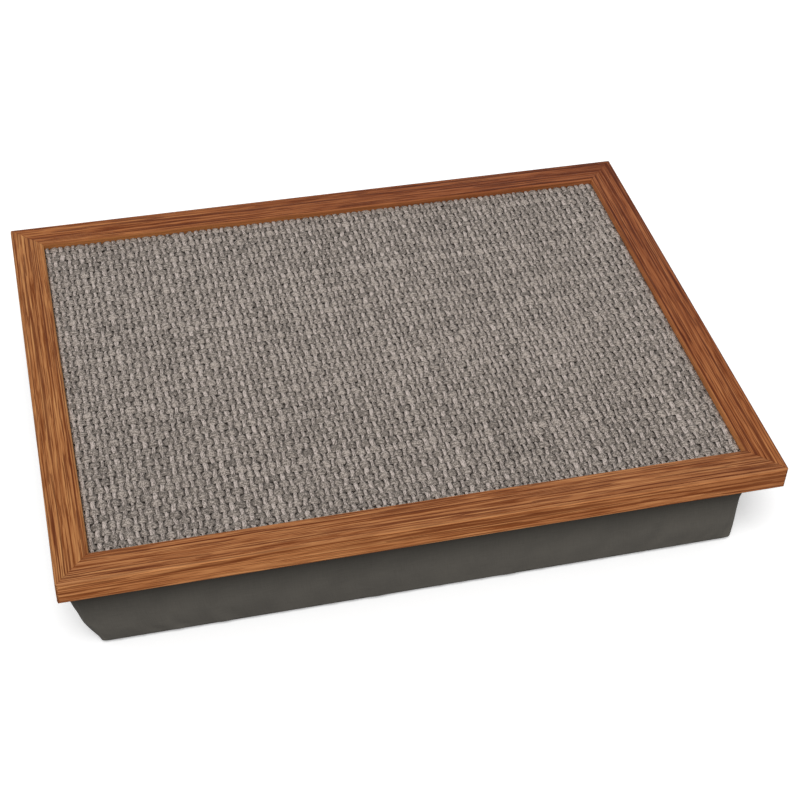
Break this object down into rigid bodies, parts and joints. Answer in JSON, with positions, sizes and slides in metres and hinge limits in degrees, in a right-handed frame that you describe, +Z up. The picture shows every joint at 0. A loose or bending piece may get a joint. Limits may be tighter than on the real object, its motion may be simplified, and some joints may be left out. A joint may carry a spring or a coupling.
{
  "type": "lap tray with cushion",
  "caption": "Lap tray: a mitred wooden frame round a woven surface on a board, held by hook and loop tape to a bead-filled cushion.",
  "frame": {"origin": "middle of the cushion's flat underside, under the middle of the tray", "axes": "+Z up out of the tray's surface, +X along the tray's long side, and the front at -Y"},
  "size_m": [0.44, 0.333, 0.07],
  "materials": {
    "rail_wood": "satin",
    "weave": "matte",
    "board": "matte",
    "steel": "satin",
    "hook_tape": "matte",
    "loop_tape": "matte",
    "cushion_cloth": "matte",
    "beads": "matte"
  },
  "bodies": {
    "cushion": {"cushion_bottom_panel": "cushion_cloth", "cushion_side_band": "cushion_cloth", "cushion_top_panel": "cushion_cloth", "bead_filling": "beads", "loop_tape_front": "loop_tape", "loop_tape_back": "loop_tape", "loop_tape_left": "loop_tape", "loop_tape_right": "loop_tape"},
    "tray": {"rail_front": "rail_wood", "rail_back": "rail_wood", "rail_left": "rail_wood", "rail_right": "rail_wood", "corner_v_nails": "steel", "tray_panel": "board", "framers_points": "steel", "woven_mat": "weave", "hook_tape_front": "hook_tape", "hook_tape_back": "hook_tape", "hook_tape_left": "hook_tape", "hook_tape_right": "hook_tape"}
  },
  "joints": [
    {"name": "tray_lift", "type": "slide", "parent": "cushion", "child": "tray", "axis": [0, 0, 1], "range_m": [0, 0.12]}
  ]
}
